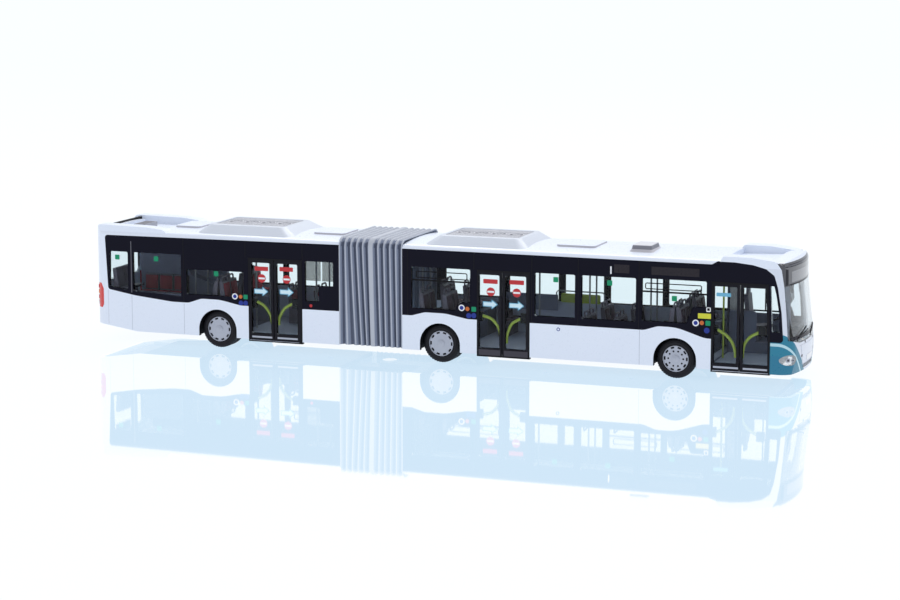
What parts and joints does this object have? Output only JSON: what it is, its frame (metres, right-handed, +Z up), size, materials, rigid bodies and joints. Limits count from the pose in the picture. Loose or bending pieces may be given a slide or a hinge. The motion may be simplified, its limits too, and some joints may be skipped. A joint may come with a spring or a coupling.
{
  "type": "articulated bus scale model",
  "caption": "Plastic 1:87 scale model of a two-section low-floor city bus with pleated bellows, free-turning wheels, hollow glazed saloon and a pivoting rear car.",
  "frame": {"origin": "on the ground under the middle of the straight bus", "axes": "+X forward, +Y to the bus's left, +Z up"},
  "size_m": [0.2102, 0.0294, 0.0356],
  "materials": {
    "body": "gloss",
    "band": "gloss",
    "door": "gloss",
    "glazing": "clear",
    "screen_dark": "tinted",
    "display": "gloss",
    "lamp_clear": "clear",
    "lamp_red": "gloss",
    "chassis": "matte",
    "interior": "matte",
    "seat": "matte",
    "pole": "satin",
    "grille": "matte",
    "bellows": "matte",
    "tyre": "matte",
    "rim": "silver paint",
    "steel": "satin"
  },
  "bodies": {
    "front_car": {"front_window_bands": "band", "front_window_panes": "glazing", "front_door": "door", "front_mask": "body", "front_roof": "body", "front_side_panels": "body", "front_chassis": "chassis", "front_floor": "interior", "front_seats": "seat", "front_grab_poles": "pole", "front_roof_unit": "body", "front_roof_grille": "grille", "middle_door": "door", "windscreen": "glazing", "destination_display": "display", "headlamps": "lamp_clear", "dashboard": "interior", "steering_wheel": "chassis", "roof_vent": "grille"},
    "rear_car": {"rear_window_bands": "band", "rear_window_panes": "glazing", "rear_door": "door", "rear_screen": "screen_dark", "rear_wall": "body", "rear_roof": "body", "rear_side_panels": "body", "rear_chassis": "chassis", "rear_floor": "interior", "rear_seats": "seat", "rear_grab_poles": "pole", "rear_roof_unit": "body", "rear_roof_grille": "grille", "tail_lamps": "lamp_red", "pivot_pin": "steel", "engine_grille": "chassis"},
    "front_wheelset": {"front_axle": "steel", "front_tyres": "tyre", "front_rims": "rim"},
    "middle_wheelset": {"middle_axle": "steel", "middle_tyres": "tyre", "middle_rims": "rim"},
    "rear_wheelset": {"rear_axle": "steel", "rear_tyres": "tyre", "rear_rims": "rim"},
    "hoop_1": {"bellows_hoop_1": "bellows"},
    "hoop_2": {"bellows_hoop_2": "bellows"},
    "hoop_3": {"bellows_hoop_3": "bellows"},
    "hoop_4": {"bellows_hoop_4": "bellows"},
    "hoop_5": {"bellows_hoop_5": "bellows"},
    "hoop_6": {"bellows_hoop_6": "bellows"},
    "hoop_7": {"bellows_hoop_7": "bellows"},
    "hoop_8": {"bellows_hoop_8": "bellows"},
    "hoop_9": {"bellows_hoop_9": "bellows"}
  },
  "joints": [
    {"name": "articulation", "type": "hinge", "parent": "front_car", "child": "rear_car", "pos_m": [-0.01755, 0, 0.0041], "axis": [0, 0, 1], "range_deg": [-35, 35]},
    {"name": "front_wheels_turn", "type": "hinge", "parent": "front_car", "child": "front_wheelset", "pos_m": [0.0713, 0, 0.0055], "axis": [0, 1, 0], "continuous": true},
    {"name": "middle_wheels_turn", "type": "hinge", "parent": "front_car", "child": "middle_wheelset", "pos_m": [0.0034, 0, 0.0055], "axis": [0, 1, 0], "continuous": true},
    {"name": "rear_wheels_turn", "type": "hinge", "parent": "rear_car", "child": "rear_wheelset", "pos_m": [-0.0654, 0, 0.0055], "axis": [0, 1, 0], "continuous": true},
    {"name": "hoop_1_follow", "type": "hinge", "parent": "front_car", "child": "hoop_1", "pos_m": [-0.01755, 0, 0.02], "axis": [0, 0, 1], "range_deg": [-4, 4]},
    {"name": "hoop_2_follow", "type": "hinge", "parent": "front_car", "child": "hoop_2", "pos_m": [-0.01755, 0, 0.02], "axis": [0, 0, 1], "range_deg": [-7.5, 7.5]},
    {"name": "hoop_3_follow", "type": "hinge", "parent": "front_car", "child": "hoop_3", "pos_m": [-0.01755, 0, 0.02], "axis": [0, 0, 1], "range_deg": [-11, 11]},
    {"name": "hoop_4_follow", "type": "hinge", "parent": "front_car", "child": "hoop_4", "pos_m": [-0.01755, 0, 0.02], "axis": [0, 0, 1], "range_deg": [-14.5, 14.5]},
    {"name": "hoop_5_follow", "type": "hinge", "parent": "front_car", "child": "hoop_5", "pos_m": [-0.01755, 0, 0.02], "axis": [0, 0, 1], "range_deg": [-18, 18]},
    {"name": "hoop_6_follow", "type": "hinge", "parent": "front_car", "child": "hoop_6", "pos_m": [-0.01755, 0, 0.02], "axis": [0, 0, 1], "range_deg": [-21.5, 21.5]},
    {"name": "hoop_7_follow", "type": "hinge", "parent": "front_car", "child": "hoop_7", "pos_m": [-0.01755, 0, 0.02], "axis": [0, 0, 1], "range_deg": [-25, 25]},
    {"name": "hoop_8_follow", "type": "hinge", "parent": "front_car", "child": "hoop_8", "pos_m": [-0.01755, 0, 0.02], "axis": [0, 0, 1], "range_deg": [-28.5, 28.5]},
    {"name": "hoop_9_follow", "type": "hinge", "parent": "front_car", "child": "hoop_9", "pos_m": [-0.01755, 0, 0.02], "axis": [0, 0, 1], "range_deg": [-32, 32]}
  ],
  "couplings": [
    {"joint": "hoop_1_follow", "follows": "articulation", "ratio": 0.1},
    {"joint": "hoop_2_follow", "follows": "articulation", "ratio": 0.2},
    {"joint": "hoop_3_follow", "follows": "articulation", "ratio": 0.3},
    {"joint": "hoop_4_follow", "follows": "articulation", "ratio": 0.4},
    {"joint": "hoop_5_follow", "follows": "articulation", "ratio": 0.5},
    {"joint": "hoop_6_follow", "follows": "articulation", "ratio": 0.6},
    {"joint": "hoop_7_follow", "follows": "articulation", "ratio": 0.7},
    {"joint": "hoop_8_follow", "follows": "articulation", "ratio": 0.8},
    {"joint": "hoop_9_follow", "follows": "articulation", "ratio": 0.9}
  ]
}
